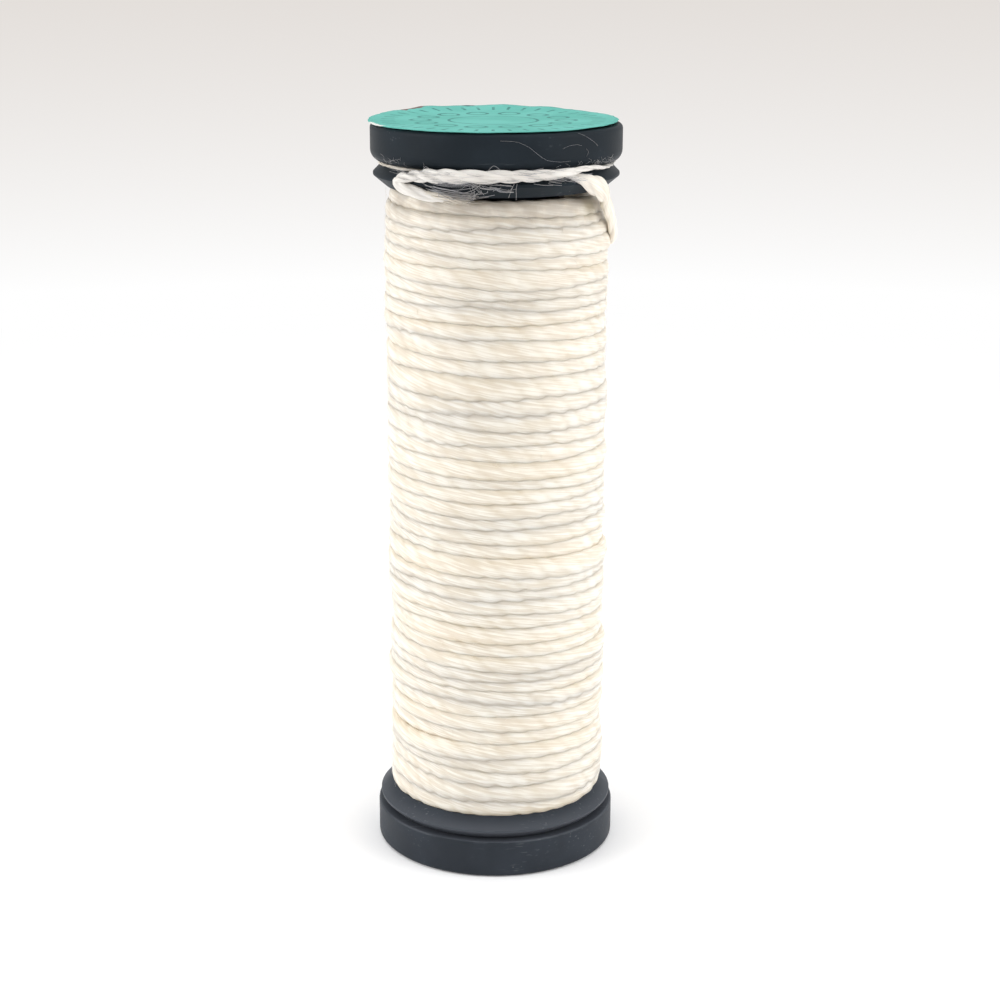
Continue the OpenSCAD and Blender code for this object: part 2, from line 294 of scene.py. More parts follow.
def label_height(angle, share):
    """How far the paper stands off the cap at an angle, and at a share of the radius."""
    back = np.clip(np.sin(angle - 0.25), 0, 1) ** 1.5
    right = np.clip(np.cos(angle), 0, 1) ** 3
    edge = np.clip((share - flat_share) / (1 - flat_share), 0, 1) ** 2
    crinkle = crinkle_depth * ripple(angle / math.tau, 5, (1 / 3, 1 / 7, 1 / 11, 1 / 17))
    return edge * (lift_back * back + lift_right * right + crinkle * (0.3 + back))


angles = np.arange(label_steps) * math.tau / label_steps
ragged = ragged_depth * ripple(angles / math.tau, 9, (1 / 9, 1 / 23, 1 / 41, 1 / 61))
torn = 1 + 2.4 * np.clip(np.sin(angles), 0, 1)
edge_r = label_r + ragged * torn
rings = []
for side in (0, 1):
    for i in range(1, label_rings + 1):
        share = i / label_rings
        let_go = np.clip((share - glue_share) / glue_over, 0, 1)
        unstuck = (1 - side) * (label_thick - paper_thick) * let_go
        height = label_low.z + side * label_thick + unstuck + label_height(angles, share)
        out = share * edge_r
        rings.append(np.stack([label_x + out * np.cos(angles), out * np.sin(angles), height], 1))
points = np.concatenate(rings)
middle = len(points)
points = np.concatenate([points, [[label_x, 0, label_low.z], [label_x, 0, label_high.z]]])
faces = []
for k in range(label_steps):
    n = (k + 1) % label_steps
    for i in range(label_rings - 1):
        a, b = i * label_steps, (i + 1) * label_steps
        faces.append((a + k, a + n, b + n, b + k))
        a, b = a + label_rings * label_steps, b + label_rings * label_steps
        faces.append((a + k, b + k, b + n, a + n))
    low, high = (label_rings - 1) * label_steps, (2 * label_rings - 1) * label_steps
    faces.append((low + k, low + n, high + n, high + k))
    faces.append((middle, n, k))
    top = label_rings * label_steps
    faces.append((middle + 1, top + k, top + n))

dark_teal, light_teal = (0.098, 0.405, 0.345, 1), (0.128, 0.46, 0.4, 1)
ink = (0.02, 0.13, 0.12, 1)
# The print is a ring of ticks, a ring of small circles and a large circle. Each line is drawn
# between two distances from its middle, outside which it is bare and inside which it is full.
dial_dots, ticks_per_dot = 14, 3
tick_r, tick_edge = 6.9 * mm, (0.5 * mm, 0.42 * mm)
dial_r, dot_r, dot_edge = 4.75 * mm, 0.66 * mm, (0.15 * mm, 0.09 * mm)
circle_r, circle_edge = 2.9 * mm, (0.12 * mm, 0.08 * mm)
rim_r, rim_varies, rim_edge = 8.2 * mm, 0.7 * mm, 0.12 * mm
# Places on the rim, by bearing and half width in radians, and colour: a chip to the white
# stock, a brown band below the lifted back edge, and a dark nick
rim_marks = [
    (-2.78, 0.2, (0.74, 0.73, 0.7, 1)),
    (2.32, 0.16, (0.16, 0.1, 0.09, 1)),
    (1.79, 0.07, (0.015, 0.12, 0.12, 1)),
]
fibre_scale, patch_scale, fibre_depth = 2600.0, 320.0, 0.02 * mm

printed_paper, tree, place = new_material("label_paper")
fibres = noise(tree, place, fibre_scale, 4.0)
patches = noise(tree, place, patch_scale, 3.0)
teal = mix(tree, spread(tree, patches, 0.35, 0.65), dark_teal, light_teal)
centred = add(tree, "ShaderNodeVectorMath", {0: place, 1: (label_x, 0, 0)}, operation="SUBTRACT").outputs[0]
flat = add(tree, "ShaderNodeVectorMath", {0: centred, 1: (1, 1, 0)}, operation="MULTIPLY").outputs[0]
from_middle = add(tree, "ShaderNodeVectorMath", {0: flat}, operation="LENGTH").outputs["Value"]
axes = add(tree, "ShaderNodeSeparateXYZ", {0: flat}).outputs
bearing = calc(tree, "ARCTAN2", axes["Y"], axes["X"])


def off(value, middle):
    """The distance of a number from a middle."""
    return calc(tree, "ABSOLUTE", calc(tree, "SUBTRACT", value, middle))


wave = calc(tree, "SINE", calc(tree, "MULTIPLY", bearing, ticks_per_dot * dial_dots / 2))
ticks = spread(tree, calc(tree, "ABSOLUTE", wave), 0.93, 0.98)
ticks = calc(tree, "MULTIPLY", ticks, spread(tree, off(from_middle, tick_r), *tick_edge))
turn = calc(tree, "FRACT", calc(tree, "MULTIPLY_ADD", bearing, dial_dots / math.tau, 0.5))
turn = calc(tree, "MULTIPLY", calc(tree, "SUBTRACT", turn, 0.5), math.tau * dial_r / dial_dots)
across_dot = {"X": turn, "Y": calc(tree, "SUBTRACT", from_middle, dial_r)}
across_dot = add(tree, "ShaderNodeCombineXYZ", across_dot).outputs[0]
from_dot = add(tree, "ShaderNodeVectorMath", {0: across_dot}, operation="LENGTH").outputs["Value"]
dots = spread(tree, off(from_dot, dot_r), *dot_edge)
circle = spread(tree, off(from_middle, circle_r), *circle_edge)
print_marks = calc(tree, "MAXIMUM", calc(tree, "MAXIMUM", ticks, dots), circle)
print_marks = calc(tree, "MULTIPLY", print_marks, spread(tree, fibres, 0.3, 0.6, 0.35, 0.85))
colour = mix(tree, print_marks, teal, ink)
frayed_from = calc(tree, "MULTIPLY_ADD", fibres, -rim_varies, rim_r)
rim = spread(tree, calc(tree, "SUBTRACT", from_middle, frayed_from), 0.0, rim_edge)
for middle_at, half, marking in rim_marks:
    mark = calc(tree, "MULTIPLY", rim, spread(tree, off(bearing, middle_at), half, half * 0.6))
    colour = mix(tree, mark, colour, marking)
relief = {"Height": fibres, "Strength": 0.3, "Distance": fibre_depth}
bump = add(tree, "ShaderNodeBump", relief).outputs[0]
wires = {"Base Color": colour, "Roughness": 0.72, "Specular IOR Level": 0.3, "Normal": bump}
finish_material(tree, add(tree, "ShaderNodeBsdfPrincipled", wires).outputs[0])
label = add_mesh("label_disc", points, faces, printed_paper)
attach(label, "top_cap")
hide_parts("top_label")


# ---- Outer winding ----
# Filament silk of three plies twisted together, about one millimetre thick, wound in a
# left-handed layer of some forty-four turns. They lie unevenly, and some run over others.
silk_light, silk_shade = (0.97, 0.91, 0.8, 1), (0.8, 0.71, 0.585, 1)
# Painted shade for the furrows between plies and where turns meet, and the grey of the handled end
brown_gap_shade, handled_grey = (0.68, 0.57, 0.41, 1), (0.72, 0.72, 0.73, 1)
soil_and_shade_brown, patch_brown = (0.34, 0.3, 0.26, 1), (0.4, 0.33, 0.18, 1)
# Heights between which the thread turns browner, and its share at the upper one: strong on the
# last turns, as painted shade under the lip and cap mixed with some soil, and faint over the
# upper half, darker towards the top
last_turns_shade_and_soil, upper_half_darkening = (43.2 * mm, 45.4 * mm, 0.0, 0.42), (24 * mm, 45 * mm, 0.0, 0.14)
# A brown patch on the winding below where the locked end leaves it: its centre, and the distances over which
# it fades in
brown_patch_at, brown_patch_edge = (6.2 * mm, -4.05 * mm, 45.0 * mm), (1.3 * mm, 0.2 * mm)
# Scales of the patterns, in waves per metre, and of the filaments along and round the thread
tone_scale, smear_scale, filament_scale = 420.0, 700.0, (420, 6, 6)
filament_depth, scatter_depth = 0.05 * mm, 0.6 * mm


def silk(name, light, shade, gap_shade, translucent, grey_from=None):
    """Silk: filaments run nearly along the thread, and painted shade in the gap colour darkens
    the furrows between plies and the flanks where turns meet. Towards the top it is browner: painted
    shade with some soil on the last turns, and a faint darkening over the upper half. The locked
    end is greyer from a distance on."""
    made, tree, place = new_material(name)
    along = add(tree, "ShaderNodeAttribute", attribute_name="strand").outputs["Vector"]
    laid = add(tree, "ShaderNodeMapping", {"Vector": along, "Scale": filament_scale}).outputs[0]
    filaments = noise(tree, laid, 1.0, 4.0)
    furrow = add(tree, "ShaderNodeAttribute", attribute_name="furrow").outputs["Fac"]
    tone = calc(tree, "MULTIPLY", filaments, 0.75)
    tone = calc(tree, "MULTIPLY_ADD", noise(tree, place, tone_scale, 3.0), 0.25, tone)
    colour = mix(tree, spread(tree, tone, 0.6, 0.4), light, shade)
    # Painted shade: the gap colour darkens the ply furrows and the flanks where turns meet
    colour = mix(tree, calc(tree, "MINIMUM", furrow, 1.0), colour, gap_shade)
    height = add(tree, "ShaderNodeSeparateXYZ", {0: place}).outputs["Z"]
    # Painted shade with some soil on the last turns under the lip and cap, and a faint darkening over the
    # upper half
    soil_and_shade = calc(tree, "ADD", spread(tree, height, *last_turns_shade_and_soil), spread(tree, height, *upper_half_darkening))
    smears = spread(tree, noise(tree, place, smear_scale, 3.0), 0.32, 0.62, 0.35, 1.0)
    soil_and_shade = calc(tree, "MULTIPLY", soil_and_shade, smears)
    if grey_from:
        reached = add(tree, "ShaderNodeSeparateXYZ", {0: along}).outputs["X"]
        grey = spread(tree, reached, grey_from, grey_from + 3 * mm, 0.0, 0.5)
        colour = mix(tree, grey, colour, handled_grey)
        soil_and_shade = calc(tree, "MULTIPLY", soil_and_shade, 0.15)
    colour = mix(tree, soil_and_shade, colour, soil_and_shade_brown)
    # The brown patch below the lead
    from_brown_patch = add(tree, "ShaderNodeVectorMath", {0: place, 1: brown_patch_at}, operation="DISTANCE")
    marking = spread(tree, from_brown_patch.outputs["Value"], *brown_patch_edge)
    colour = mix(tree, calc(tree, "MULTIPLY", marking, 0.5), colour, patch_brown)
    relief = {"Height": filaments, "Strength": 0.4, "Distance": filament_depth}
    bump = add(tree, "ShaderNodeBump", relief).outputs[0]
    wires = {
        "Base Color": colour, "Roughness": 0.42, "Specular IOR Level": 0.5, "Normal": bump,
        "Subsurface Weight": translucent, "Subsurface Radius": (1.0, 0.98, 0.94),
        "Subsurface Scale": scatter_depth,
    }
    finish_material(tree, add(tree, "ShaderNodeBsdfPrincipled", wires).outputs[0])
    return made


cream_silk = silk("silk_thread", silk_light, silk_shade, brown_gap_shade, 0.5)


def vector(tree, operation, *values):
    """One step of arithmetic on vectors."""
    return add(tree, "ShaderNodeVectorMath", dict(enumerate(values)), operation=operation).outputs[0]


def scaled(tree, direction, length):
    """A direction times a number."""
    return add(tree, "ShaderNodeVectorMath", {0: direction, "Scale": length}, operation="SCALE").outputs[0]


def named(tree, name, kind="FLOAT"):
    """The value that keep stored under a name."""
    return add(tree, "GeometryNodeInputNamedAttribute", {"Name": name}, data_type=kind).outputs[0]


def keep(tree, shape, name, value, kind="FLOAT"):
    """Stores a value on every point of a shape."""
    wires = {"Geometry": shape, "Name": name, "Value": value}
    return add(tree, "GeometryNodeStoreNamedAttribute", wires, data_type=kind).outputs[0]


def new_tree(name, sizes):
    """A Geometry Nodes tree with one input for each named size, and its input sockets."""
    tree = bpy.data.node_groups.new(name, "GeometryNodeTree")
    kinds = {"Geometry": "Geometry", "Sides": "Int", "Seed": "Int", "Material": "Material"}
    for label in sizes:
        kind = kinds.get(label, "Float")
        tree.interface.new_socket(label, in_out="INPUT", socket_type="NodeSocket" + kind)
    tree.interface.new_socket("Geometry", in_out="OUTPUT", socket_type="NodeSocketGeometry")
    return tree, add(tree, "NodeGroupInput").outputs


def close_tree(tree, shape, material):
    """Every tree ends in real geometry with its material set. Walls are smooth, ends flat."""
    corners = add(tree, "GeometryNodeInputMeshFaceNeighbors").outputs["Vertex Count"]
    wall = calc(tree, "LESS_THAN", corners, 4.5)
    shape = add(tree, "GeometryNodeSetShadeSmooth", {"Geometry": shape, "Shade Smooth": wall}).outputs[0]
    shape = add(tree, "GeometryNodeRealizeInstances", {"Geometry": shape}).outputs[0]
    shape = add(tree, "GeometryNodeSetMaterial", {"Geometry": shape, "Material": material}).outputs[0]
    add(tree, "NodeGroupOutput", {0: shape})


def run_tree(base, tree, **sizes):
    """Applies a tree to a base object and returns the result as a plain mesh object."""
    modifier = base.modifiers.new("nodes", "NODES")
    modifier.node_group = tree
    for socket in tree.interface.items_tree:
        label = socket.name.lower().replace(" ", "_")
        if socket.in_out == "INPUT" and label in sizes:
            modifier[socket.identifier] = sizes[label]
    bpy.context.view_layer.update()
    grown = base.evaluated_get(bpy.context.evaluated_depsgraph_get())
    mesh = bpy.data.meshes.new_from_object(grown)
    mesh.materials.clear()
    mesh.materials.append(sizes["material"])
    mesh.polygons.foreach_set("material_index", [0] * len(mesh.polygons))
    name = base.name
    base.modifiers.remove(modifier)
    bpy.data.objects.remove(base)
    made = bpy.data.objects.new(name, mesh)
    mesh.name = name
    bpy.context.scene.collection.objects.link(made)
    return made


# The strand tree sweeps one thread along a route. Each point of the route carries the
# direction that faces outwards, its two half thicknesses and its distance along the thread.
# The outline's points crowd to the outer side, the twist wanders by some radians, and the
# filaments lean by a share of the twist.
plies, crowding, wandering, filament_lean = 3, 0.4, 5.0, 0.14
strand_tree, given = new_tree("strand", ["Geometry", "Sides", "Lay Length", "Squareness", "Material"])
tree = strand_tree
route = add(tree, "GeometryNodeMeshToCurve", {"Mesh": given["Geometry"]}).outputs[0]
route = keep(tree, route, "lay_centre", add(tree, "GeometryNodeInputPosition").outputs[0], "FLOAT_VECTOR")
route = keep(tree, route, "lay_along", add(tree, "GeometryNodeInputTangent").outputs[0], "FLOAT_VECTOR")
outline = add(tree, "GeometryNodeCurvePrimitiveCircle", {"Resolution": given["Sides"]}).outputs[0]
outline = keep(tree, outline, "lay_round", add(tree, "GeometryNodeSplineParameter").outputs["Factor"])
swept = {"Curve": route, "Profile Curve": outline, "Fill Caps": True}
tube = add(tree, "GeometryNodeCurveToMesh", swept).outputs[0]
tangent = named(tree, "lay_along", "FLOAT_VECTOR")
across = vector(tree, "CROSS_PRODUCT", tangent, named(tree, "lay_out", "FLOAT_VECTOR"))
across = vector(tree, "NORMALIZE", across)
outward = vector(tree, "CROSS_PRODUCT", across, tangent)
angle = calc(tree, "MULTIPLY", named(tree, "lay_round"), math.tau)
angle = calc(tree, "SUBTRACT", angle, calc(tree, "MULTIPLY", calc(tree, "SINE", angle), crowding))
cosine, sine = calc(tree, "COSINE", angle), calc(tree, "SINE", angle)
power = given["Squareness"]
corner = calc(tree, "ADD", *[calc(tree, "POWER", calc(tree, "ABSOLUTE", c), power) for c in (cosine, sine)])
reach = calc(tree, "POWER", corner, calc(tree, "DIVIDE", -1.0, power))
distance = named(tree, "lay_distance")
wander = add(tree, "ShaderNodeCombineXYZ", {"X": distance}).outputs[0]
twist = calc(tree, "MULTIPLY", calc(tree, "DIVIDE", distance, given["Lay Length"]), math.tau)
twist = calc(tree, "MULTIPLY_ADD", noise(tree, wander, 160.0, 1.0), wandering, twist)
ply_angle = calc(tree, "SUBTRACT", angle, twist)
crown = calc(tree, "ABSOLUTE", calc(tree, "COSINE", calc(tree, "MULTIPLY", ply_angle, plies / 2)))
evenness = spread(tree, noise(tree, wander, 330.0, 1.0), 0.35, 0.7, 0.5, 1.4)
ply_depth = calc(tree, "MULTIPLY", named(tree, "lay_ply"), evenness)
furrow = calc(tree, "MULTIPLY", calc(tree, "SUBTRACT", 1.0, crown), ply_depth)
reach = calc(tree, "MULTIPLY", reach, calc(tree, "SUBTRACT", 1.0, furrow))


def leg(direction, half, share):
    """The step from the strand's middle to its skin along one direction."""
    long = calc(tree, "MULTIPLY", calc(tree, "MULTIPLY", named(tree, half), share), reach)
    return scaled(tree, direction, long)


spot = vector(tree, "ADD", named(tree, "lay_centre", "FLOAT_VECTOR"),
              vector(tree, "ADD", leg(outward, "lay_deep", cosine), leg(across, "lay_wide", sine)))
tube = add(tree, "GeometryNodeSetPosition", {"Geometry": tube, "Position": spot}).outputs[0]
lean = calc(tree, "SUBTRACT", angle, calc(tree, "MULTIPLY", twist, filament_lean))
filament = {"X": distance, "Y": calc(tree, "COSINE", lean), "Z": calc(tree, "SINE", lean)}
filament = add(tree, "ShaderNodeCombineXYZ", filament).outputs[0]
tube = keep(tree, tube, "strand", filament, "FLOAT_VECTOR")
# Painted shade for the silk's colour, stored as furrow: darker in the furrows between plies and on the flanks
# of each turn, where it meets its neighbours
hollow_shade = calc(tree, "MULTIPLY", calc(tree, "POWER", calc(tree, "SUBTRACT", 1.0, crown), 2.0), evenness)
flank_shade = spread(tree, calc(tree, "MULTIPLY", calc(tree, "ABSOLUTE", sine), reach), 0.3, 0.62)
flank_shade = calc(tree, "MULTIPLY", flank_shade, spread(tree, noise(tree, wander, 90.0, 1.0), 0.35, 0.65, 0.0, 0.5))
tube = keep(tree, tube, "furrow", calc(tree, "MULTIPLY_ADD", hollow_shade, 0.4, flank_shade))
for name in ("centre", "along", "round", "out", "deep", "wide", "ply", "distance"):
    spent = {"Geometry": tube, "Name": "lay_" + name}
    tube = add(tree, "GeometryNodeRemoveAttribute", spent).outputs[0]
close_tree(tree, tube, given["Material"])


def lay_strands(name, strands, sides, ply_depth, squareness, material, lay=4.4 * mm):
    """Sweeps strands, each given as points, outward directions, half depths, half widths
    and distances along the thread, and joins them in one piece."""
    points, out, deep, wide, distance = [np.concatenate(rows) for rows in zip(*strands)]
    edges, start = [], 0
    for strand in strands:
        count = len(strand[0])
        edges += [(start + i, start + i + 1) for i in range(count - 1)]
        start += count
    mesh = bpy.data.meshes.new(name)
    mesh.from_pydata([tuple(p) for p in points], edges, [])
    mesh.attributes.new("lay_out", "FLOAT_VECTOR", "POINT").data.foreach_set("vector", out.ravel())
    ply = ply_depth * np.ones(len(points))
    numbers = {"lay_deep": deep, "lay_wide": wide, "lay_ply": ply, "lay_distance": distance}
    for label, values in numbers.items():
        mesh.attributes.new(label, "FLOAT", "POINT").data.foreach_set("value", values)
    base = bpy.data.objects.new(name, mesh)
    bpy.context.scene.collection.objects.link(base)
    return run_tree(base, strand_tree, sides=sides, lay_length=lay, squareness=squareness, material=material)


def walked(points):
    """Distance along a route at each of its points."""
    return np.concatenate([[0], np.cumsum(np.linalg.norm(np.diff(points, axis=0), axis=1))])


def round_spool(azimuth, radius, height):
    """Points and outward directions round the spool's axis, the azimuth in degrees."""
    a = np.radians(azimuth)
    out = np.stack([np.cos(a), np.sin(a), 0 * a], 1)
    return out * np.reshape(radius, (-1, 1)) + np.stack([0 * a, 0 * a, height + 0 * a], 1), out


wound_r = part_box("outer_winding")[1].x
wound_low, wound_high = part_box("bottom_lip")[1].z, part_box("top_lip")[0].z
thread_deep = 0.42 * mm
# Height and pitch: the turns are laid close near the top, and wide above the middle
pitch_rows = mm * np.array([
    (4, 1.25), (6.6, 1.15), (8.2, 0.92), (18.5, 0.9), (20.5, 1.0), (25, 1.0), (26.4, 0.8), (27.6, 0.82),
    (29, 1.05), (31.5, 1.2), (35.8, 1.18), (37.2, 0.9), (46, 0.86),
])
rings_per_turn = 122
start_azimuth = 70
settle = 0.16 * mm
# The waves by which turns stray along the spool and off it: amount in mm, seed, and periods
# in turns
strays_along = [(0.15, 1, (9.7, 6.3)), (0.075, 2, (1.93, 1.31, 0.83)), (0.03, 3, (0.37, 0.29, 0.21))]
strays_off = [(0.06, 4, (7.1, 2.37)), (0.06, 5, (1.37, 0.53)), (0.03, 6, (0.23, 0.17))]
stand_off = 0.06 * mm
# Half widths as a share of half the pitch, as a turn laps over its neighbours, and how much
# width and depth vary
lapping, width_varies, depth_varies = 1.62, 0.14, 0.06
# Here and there a turn leans over its neighbour, for about half a turn
crossing_count, crossing_turns, crossing_lean, crossing_rise = 22, 0.24, 0.22, 0.08 * mm
# The last turns sink below the lip, and both ends of the thread dive under the layer
sink, sink_from, sink_over = 0.42 * mm, 43.9 * mm, 1.3 * mm
dive, dive_turns = 0.6 * mm, 0.12
# The lower part of the layer is fuller at the right
fuller, fuller_below, fuller_over = 0.11 * mm, 36 * mm, 20 * mm
# The layer rises to the locked end where that leaves it, at the right
rise, rise_at, rise_half, rise_focus = 0.24 * mm, 42.3 * mm, 0.9 * mm, 22


def stray(waves):
    """The sum of some waves along the turns."""
    return mm * sum(amount * ripple(turns, seed, periods) for amount, seed, periods in waves)


climb = np.linspace(wound_low - settle, wound_high, 4000)
turns_up = np.cumsum(np.diff(climb, prepend=climb[0]) / np.interp(climb, *pitch_rows.T))
turns = np.arange(0, turns_up[-1], 1 / rings_per_turn)
height = np.interp(turns, turns_up, climb)
pitch = np.interp(height, *pitch_rows.T)
height = height + stray(strays_along)
radius = wound_r - thread_deep + stand_off + stray(strays_off)
wide = pitch / 2 * (lapping + width_varies * ripple(turns, 7, (2.9, 0.61, 0.33)))
deep = thread_deep * (1 + depth_varies * ripple(turns, 8, (1.7, 0.41)))
crossings = np.random.default_rng(12).random((crossing_count, 2))
for spot, way in crossings:
    near = np.exp(-(((turns - spot * turns[-1]) / crossing_turns) ** 2))
    height = height + near * pitch * crossing_lean * (1 if way > 0.5 else -1)
    radius = radius + near * crossing_rise
height = np.clip(height, wound_low - settle + wide, wound_high - wide)
radius = radius - sink * np.clip((height - sink_from) / sink_over, 0, 1) ** 1.5
radius = radius - dive * (np.exp(-turns / dive_turns) + np.exp((turns - turns[-1]) / dive_turns))
azimuth = start_azimuth - 360 * turns
to_the_right = np.cos(np.radians(azimuth))
radius = radius + fuller * to_the_right * np.clip((fuller_below - height) / fuller_over, 0, 1)
radius = radius + rise * np.exp(rise_focus * (to_the_right - 1) - ((height - rise_at) / rise_half) ** 2)
points, out = round_spool(azimuth, radius, height)
strand = (points, out, deep, wide, walked(points))
wound_ply, wound_lay = 0.13, 4.2 * mm
wound = lay_strands("outer_winding_layer", [strand], 18, wound_ply, 2.2, cream_silk, wound_lay)
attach(wound, "spool")
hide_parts("outer_winding")

# The fuzz tree scatters short bent hairs on a skin, in every direction along it.
fuzz_tree, given = new_tree("fuzz", ["Geometry", "Density", "Seed", "Length", "Thickness", "Material"])
tree = fuzz_tree
scatter = {"Mesh": given["Geometry"], "Density": given["Density"], "Seed": given["Seed"]}
scattered = add(tree, "GeometryNodeDistributePointsOnFaces", scatter).outputs
bend = {"Resolution": 6, "Start": (0, 0, 0)}
for label, direction in (("Middle", (0.5, 0.1, 0.3)), ("End", (1.0, -0.1, 0.16))):
    bend[label] = scaled(tree, direction, given["Length"])
bent_hair = add(tree, "GeometryNodeCurveQuadraticBezier", bend).outputs[0]
outline = {"Resolution": 3, "Radius": given["Thickness"]}
outline = add(tree, "GeometryNodeCurvePrimitiveCircle", outline).outputs[0]
swept = {"Curve": bent_hair, "Profile Curve": outline, "Fill Caps": True}
bent_hair = add(tree, "GeometryNodeCurveToMesh", swept).outputs[0]


def drawn(low, high, seed):
    """A random number for each hair."""
    wires = {"Min": low, "Max": high, "Seed": seed}
    return add(tree, "FunctionNodeRandomValue", wires, data_type="FLOAT").outputs[1]


placing = {
    "Points": scattered["Points"], "Instance": bent_hair,
    "Rotation": scattered["Rotation"], "Scale": drawn(0.5, 1.5, 1),
}
hairs = add(tree, "GeometryNodeInstanceOnPoints", placing).outputs[0]
spun = add(tree, "ShaderNodeCombineXYZ", {"Z": drawn(0.0, math.tau, 2)}).outputs[0]
hairs = add(tree, "GeometryNodeRotateInstances", {"Instances": hairs, "Rotation": spun}).outputs[0]
close_tree(tree, hairs, given["Material"])

skin_r, skin_sides = wound_r - 0.08 * mm, 48
skin_low, skin_high = wound_low + 0.3 * mm, wound_high - 0.6 * mm
skin = ring(skin_r, skin_sides, skin_low) + ring(skin_r, skin_sides, skin_high)
walls = []
for i in range(skin_sides):
    n = (i + 1) % skin_sides
    walls.append((i, n, n + skin_sides, i + skin_sides))
skin = add_mesh("winding_fuzz", skin, walls)
fuzz_sizes = {"density": 1.3e6, "seed": 3, "length": 0.5 * mm, "thickness": 0.006 * mm}
fuzz = run_tree(skin, fuzz_tree, material=cream_silk, **fuzz_sizes)
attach(fuzz, "spool")


# ---- Inner winding ----
# The layers below: thread packed on the core tube and wound the other way, which shows
# only where the turns of the outer layer part.
tube_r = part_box("core_tube")[1].x
sunk_in = 0.42 * mm
under_r = wound_r - 2 * thread_deep + sunk_in
under_deep = (under_r - tube_r) / 2
under_pitch, under_lapping = 1.04 * mm, 0.53
under_rings_per_turn, under_ply = 64, 0.06
under_turns = np.arange(0, (wound_high - wound_low - under_pitch) / under_pitch, 1 / under_rings_per_turn)
under_height = wound_low + under_pitch / 2 + under_pitch * under_turns
points, out = round_spool(360 * under_turns, under_r - under_deep + 0 * under_turns, under_height)
same = np.ones(len(points))
under = (points, out, under_deep * same, under_pitch * under_lapping * same, walked(points))
inner = lay_strands("inner_winding_layer", [under], 12, under_ply, 2.6, cream_silk)
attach(inner, "spool")
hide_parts("inner_winding")


# ---- Locked thread end ----
# The free end climbs over the top lip, is pinched between lip and cap, goes once round the
# spool in the channel, crosses its own lead and turns back down, where its cut end frays.
# Below: the height of the top lip's ridge in mm, the widest step of a route in degrees, and
# the radius of the winding and of the lip's edge in mm.
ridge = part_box("top_lip")[1].z / mm
widest_step = 13
surface_r = (7.33, 8.08)


def in_space(row):
    """The point that a row starts with, as azimuth in degrees, height and radius."""
    azimuth, height, radius = row[:3]
    a = math.radians(azimuth)
    return np.array([radius * math.cos(a), radius * math.sin(a), height])


def smooth(rows, step):
    """A curve through rows of numbers, with new rows a step apart; a row starts with a place
    round the spool: azimuth, height and radius."""
    ends = np.concatenate([[2 * rows[0] - rows[1]], rows, [2 * rows[-1] - rows[-2]]])
    fine = []
    for i in range(len(rows) - 1):
        before, start, stop, after = ends[i : i + 4]
        reach = np.linalg.norm(in_space(stop) - in_space(start))
        t = np.linspace(0, 1, max(2, int(math.ceil(reach / step)) + 1))[:-1, None]
        curve = 2 * start + (stop - before) * t + (2 * before - 5 * start + 4 * stop - after) * t**2
        fine.append((curve + (3 * start - before - 3 * stop + after) * t**3) / 2)
    return np.concatenate(fine + [rows[-1:]])


def from_rows(rows, step=0.12):
    """A strand from rows of azimuth, distance below the ridge, radius and half thicknesses."""
    rows = np.array(rows, float)
    rows[:, 1] = ridge - rows[:, 1]
    split = [rows[:1]]
    for start, stop in zip(rows[:-1], rows[1:]):
        parts = math.ceil(abs(stop[0] - start[0]) / widest_step)
        split.append(start + (stop - start) * np.arange(1, max(parts, 1) + 1)[:, None] / max(parts, 1))
    fine = smooth(np.concatenate(split), step)
    points, out = round_spool(fine[:, 0], fine[:, 2] * mm, fine[:, 1] * mm)
    return points, out, fine[:, 3] * mm, fine[:, 4] * mm, walked(points)


